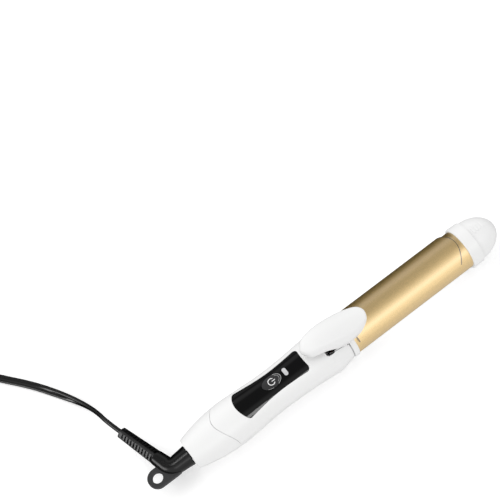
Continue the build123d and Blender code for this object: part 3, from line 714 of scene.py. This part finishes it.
def relief_section(half, slotted):
    """A rounded square's outline, with a slot sunk in each face when slotted."""
    reach = half - RELIEF_CORNER
    opening = SLOT_SHARE * half
    floor = half - (SLOT_DEPTH if slotted else SLOT_FAINT)
    face = [(-opening, half), (-opening, floor), (opening, floor), (opening, half)]
    for k in range(RELIEF_CORNER_STEPS + 1):
        angle = math.radians(90 - 90 * k / RELIEF_CORNER_STEPS)
        face.append((reach + RELIEF_CORNER * math.cos(angle), reach + RELIEF_CORNER * math.sin(angle)))
    points = []
    for _ in range(4):
        points += face
        face = [(y, -x) for x, y in face]
    return points


def add_strain_relief():
    """A tapered square sleeve, turned on its edge, with a ladder of slots in each face."""
    steps = [(RELIEF_START, False, 0)]
    for k in range(SLOT_COUNT):
        near = SLOT_START + SLOT_PITCH * k
        far = near + SLOT_LONG
        steps += [(near, False, 0), (near, True, 0), (far, True, 0), (far, False, 0)]
    steps += [(RELIEF_END - before, False, shrink) for before, shrink in RELIEF_TIP]
    corner = Vector((ELBOW_STATION, 0, 0))
    points = []
    for distance, slotted, shrink in steps:
        share = (distance - RELIEF_START) / (RELIEF_END - RELIEF_START)
        half = RELIEF_SIDE_START + (RELIEF_SIDE_END - RELIEF_SIDE_START) * share
        for x, y in relief_section(half, slotted):
            x, y = x * (1 - shrink), y * (1 - shrink)
            across = x * math.cos(RELIEF_ROLL) - y * math.sin(RELIEF_ROLL)
            up = x * math.sin(RELIEF_ROLL) + y * math.cos(RELIEF_ROLL)
            points.append(at(*(corner + RELIEF_ALONG * distance + RELIEF_ACROSS * across + UP * up)))
    around = len(points) // len(steps)
    return add_mesh("strain_relief", points, ring_faces(len(steps), around), "cord_side", "black_moulding",
                    look=RELIEF_BLACK)


LOOP_STATION, LOOP_R, LOOP_HOLE_R, LOOP_HALF = -23.0, 6.2, 3.3, 1.5
LOOP_FRONT, LOOP_EDGE = 13.0, 0.45
LOOP_POINTS_AROUND = 72


def loop_reach(angle):
    """The hang loop's outline about its hole: round behind, with straight sides into the elbow in front."""
    ahead, aside = math.cos(angle), abs(math.sin(angle))
    if ahead <= 0:
        return LOOP_R
    return min(LOOP_R / max(aside, 0.001), LOOP_FRONT / ahead)


def add_hang_loop():
    """The flat tab behind the elbow, with its hole."""
    plate = ported_plate(LOOP_HOLE_R, loop_reach, LOOP_HALF, LOOP_EDGE, LOOP_POINTS_AROUND)
    points = [at(LOOP_STATION + x, y, off) for x, y, off in plate]
    faces = ring_faces(len(plate) // LOOP_POINTS_AROUND, LOOP_POINTS_AROUND, loop=True)
    return add_mesh("hang_loop", points, faces, "cord_side", "black_moulding", look=TAB_GREY)


cord_moulding = [add_elbow(), add_strain_relief(), add_hang_loop()]

# ---- cord ----
CORD_WIDE, CORD_THICK = 5.0, 2.6
# The cord leaves the sleeve upright and lies flat on the table between these distances, in millimetres.
CORD_TURNS_FLAT = (26, 80)
# Each core's outline goes this many degrees to both sides; the web's thickness is a share of a core's.
CORE_ARC, CORE_STEPS = 112, 12
WEB_SHARE = 0.66
CORD_ROUTE = [
    (-24.74, 38.05, 0), (-28.0, 49.0, 0), (-29.6, 60.6, -4.4), (-33.9, 73.4, -9.0),
    (-41.0, 87.6, -12.3), (-52.4, 106.0, -12.7), (-66.4, 123.4, -12.7), (-78.3, 139.6, -12.7),
]
TAIL_ROUTE = [(-148.5, 113.5, -9.7), (-149.1, 103.0, -7.4), (-149.5, 92.5, -6.0), (-149.5, 86.5, -6.0)]
COIL_CENTRE = (-113.1, 125.9)
COIL_COLUMN, COIL_LAYER = 5.1, 2.8
COIL_INNER_R, COIL_COLUMNS = 20.0, 4
COIL_START, COIL_END = 42.0, 180.0
COIL_WHOLE_TURNS = 7
COIL_POINTS_A_TURN = 16
COIL_SHIFT = 0.8


def coil_points():
    """The put-away turns: inwards along the floor, then outwards on top of them."""
    turns = COIL_WHOLE_TURNS + (COIL_END - COIL_START) / 360
    steps = round(turns * COIL_POINTS_A_TURN)
    cut_in = math.cos(math.pi / COIL_POINTS_A_TURN)
    points = []
    for step in range(steps + 1):
        turn = turns * step / steps
        moved = math.floor(turn) + smoothstep(COIL_SHIFT, 1.0, turn % 1)
        if moved <= COIL_COLUMNS:
            column = max(COIL_COLUMNS - 1 - moved, 0)
        else:
            column = min(moved - COIL_COLUMNS, COIL_COLUMNS - 1)
        layer = smoothstep(COIL_COLUMNS - 1 + COIL_SHIFT, COIL_COLUMNS, turn)
        radius = (COIL_INNER_R + COIL_COLUMN * column) / cut_in
        angle = math.radians(COIL_START + 360 * turn)
        points.append((
            COIL_CENTRE[0] + radius * math.cos(angle),
            COIL_CENTRE[1] + radius * math.sin(angle),
            FLOOR + CORD_THICK / 2 + COIL_LAYER * layer,
        ))
    return points


def spline_path(points):
    """Points along the smooth NURBS line that these control points give."""
    curve = bpy.data.curves.new("route", "CURVE")
    curve.dimensions = "3D"
    spline = curve.splines.new("NURBS")
    spline.points.add(len(points) - 1)
    for place, point in zip(spline.points, points):
        place.co = (*at(*point), 1)
    spline.order_u = 3
    spline.use_endpoint_u = True
    spline.resolution_u = 8
    holder = bpy.data.objects.new("route", curve)
    mesh = bpy.data.meshes.new_from_object(holder)
    path = [vertex.co.copy() for vertex in mesh.vertices]
    bpy.data.objects.remove(holder)
    bpy.data.curves.remove(curve)
    bpy.data.meshes.remove(mesh)
    return path


def twin_section():
    """Outline of a flat twin cord: two round cores side by side with a web between them."""
    core = CORD_THICK / 2
    centre = CORD_WIDE / 2 - core
    arc = [math.radians(CORE_ARC * (2 * k / CORE_STEPS - 1)) for k in range(CORE_STEPS + 1)]
    right = [(centre + core * math.cos(a), core * math.sin(a)) for a in arc]
    left = [(-x, -z) for x, z in right]
    web = WEB_SHARE * core
    return right + [(0, web)] + left + [(0, -web)]


def add_cord():
    """Sweeps the section along the route; returns the piece and its path."""
    path = spline_path(CORD_ROUTE + coil_points() + TAIL_ROUTE)
    section = twin_section()
    points, walked = [], 0.0
    for k, place in enumerate(path):
        ahead, behind = path[min(k + 1, len(path) - 1)], path[max(k - 1, 0)]
        walked += (place - behind).length / MM
        along = (ahead - behind).normalized()
        level = along.cross(UP).normalized()
        upright = level.cross(along)
        turn = math.radians(90) * (1 - smoothstep(*CORD_TURNS_FLAT, walked))
        wide = level * math.cos(turn) + upright * math.sin(turn)
        thick = wide.cross(along)
        points += [place + wide * x * MM + thick * z * MM for x, z in section]
    cord = add_mesh("power_cord", points, ring_faces(len(path), len(section)), "cord_side", "cord_black",
                    "power_cord_lead", "cord_coil", "power_cord_tail")
    return cord, path


cord, cord_path = add_cord()


# ---- floor and light ----
FLOOR_HALF = 3.0
# The floor's own glow where it is seen, and for the light that it gives back.
FLOOR_LIFT, FLOOR_BOUNCE = 0.29, 0.2


def add_floor():
    """A wide plain floor that glows a little, so that it looks as white as the background."""
    mesh = bpy.data.meshes.new("floor")
    corners = [(x * FLOOR_HALF, y * FLOOR_HALF, 0) for x, y in ((-1, -1), (1, -1), (1, 1), (-1, 1))]
    mesh.from_pydata(corners, [], [(0, 1, 2, 3)])
    floor = bpy.data.objects.new("floor", mesh)
    bpy.context.scene.collection.objects.link(floor)
    look = material("floor", (0.84, 0.84, 0.84), 0.6, Emission_Color=(1, 1, 1, 1))
    is_seen = look.node_tree.nodes.new("ShaderNodeLightPath").outputs["Is Camera Ray"]
    extra = math_node(look, "MULTIPLY", is_seen, FLOOR_LIFT - FLOOR_BOUNCE)
    glow = math_node(look, "ADD", extra, FLOOR_BOUNCE)
    look.node_tree.links.new(glow, shader_input(look, "Emission Strength"))
    look.cycles.emission_sampling = "NONE"
    mesh.materials.append(look)
    floor.visible_glossy = False


def add_light(name, place, target, size, power):
    """A white area light of so many watts, from a place towards a target."""
    light = bpy.data.objects.new(name, bpy.data.lights.new(name, "AREA"))
    light.data.shape = "RECTANGLE"
    light.data.size, light.data.size_y = size
    light.data.energy = power
    light.location = place
    light.rotation_euler = (Vector(target) - Vector(place)).to_track_quat("-Z", "Y").to_euler()
    bpy.context.scene.collection.objects.link(light)
    return light


def light_only(light, pieces):
    """Lets a light reach only these pieces."""
    lit = bpy.data.collections.new("lit_by_" + light.name)
    for piece in pieces:
        lit.objects.link(piece)
    light.light_linking.receiver_collection = lit


# Degrees from overhead, positive towards -Y, with the brightness that gloss sees there.
STUDIO_PROFILE = [
    (-180, 0.0), (-82, 0.0), (-70, 0.2), (-58, 0.92), (-46, 0.92), (-36, 0.36), (14, 0.38), (28, 1.0),
    (76, 1.1), (98, 0.9), (180, 0.55),
]
STUDIO_AMBIENT = 0.9
PROFILE_TOP = 2.0


def set_world():
    """An even white ambient for shading, and for gloss a studio that changes round the barrel's axis."""
    world = bpy.data.worlds.new("studio")
    bpy.context.scene.world = world
    world.cycles.sampling_method = "NONE"
    world.use_nodes = True
    nodes, links = world.node_tree.nodes, world.node_tree.links
    axes = axis_sockets(world, "Generated")
    angle = math_node(world, "ARCTAN2", math_node(world, "MULTIPLY", axes["Y"], -1), axes["Z"])
    share = math_node(world, "ADD", math_node(world, "DIVIDE", angle, math.tau), 0.5)
    ramp = nodes.new("ShaderNodeValToRGB")
    links.new(share, ramp.inputs["Fac"])
    stops = ramp.color_ramp.elements
    while len(stops) < len(STUDIO_PROFILE):
        stops.new(0.5)
    for stop, (degrees, strength) in zip(stops, STUDIO_PROFILE):
        stop.position = (degrees + 180) / 360
        stop.color = (*[strength / PROFILE_TOP] * 3, 1)
    is_glossy = nodes.new("ShaderNodeLightPath").outputs["Is Glossy Ray"]
    bright = math_node(world, "MULTIPLY", ramp.outputs["Color"], PROFILE_TOP)
    gloss = math_node(world, "MULTIPLY", is_glossy, bright)
    plain = math_node(world, "MULTIPLY", math_node(world, "SUBTRACT", 1, is_glossy), STUDIO_AMBIENT)
    links.new(math_node(world, "ADD", gloss, plain), nodes["Background"].inputs["Strength"])
    nodes["Background"].inputs["Color"].default_value = (1, 1, 1, 1)


# Pieces that bounce no light onto the floor, which stays plain beside the barrel.
OUT_OF_BOUNCES = [
    "barrel_tube", "clamp", "heater_core_upper", "heater_core_lower", "ptc_heater", "electrode_upper",
    "electrode_lower", "mica_sheet_upper", "mica_sheet_lower",
]
panel_only = [frame["nodes"]["control_panel"]]
black_mouldings = [cord, *cord_moulding[:2]]
# Lights for gloss alone: place, target and size in metres, watts, and the only pieces lit, or None for all.
GLOSS_LIGHTS = {
    "strip": ((0.1, -1.31, 1.02), (0, 0, 0), (2.4, 0.55), 7, None),
    "panel_strip": ((0.1, -1.27, 1.07), (0, 0, 0), (2.4, 0.4), 30, panel_only),
    "far_strip": ((0.1, 1.6, 0.1), (0, 0, 0), (2.4, 0.7), 2, panel_only),
    "side_strip": ((-1.5, 0.2, 0.42), (0, 0, 0), (1.2, 0.6), 13, black_mouldings),
    "top_strip": ((-0.15, 0.12, 1.6), (-0.15, 0, 0), (1.2, 0.34), 9, black_mouldings),
}

add_floor()
set_world()
overhead = add_light("overhead", (-0.5, 0.7, 1.25), (0, 0, 0), (1.3, 1.3), 6.8)
overhead.visible_glossy = False
for name, (place, target, size, power, lit_pieces) in GLOSS_LIGHTS.items():
    gloss_light = add_light(name, place, target, size, power)
    gloss_light.visible_diffuse = False
    gloss_light.data.cycles.max_bounces = 0
    if lit_pieces:
        light_only(gloss_light, lit_pieces)
for node in OUT_OF_BOUNCES:
    frame["nodes"][node].visible_diffuse = False
bpy.context.scene.view_settings.view_transform = "Standard"
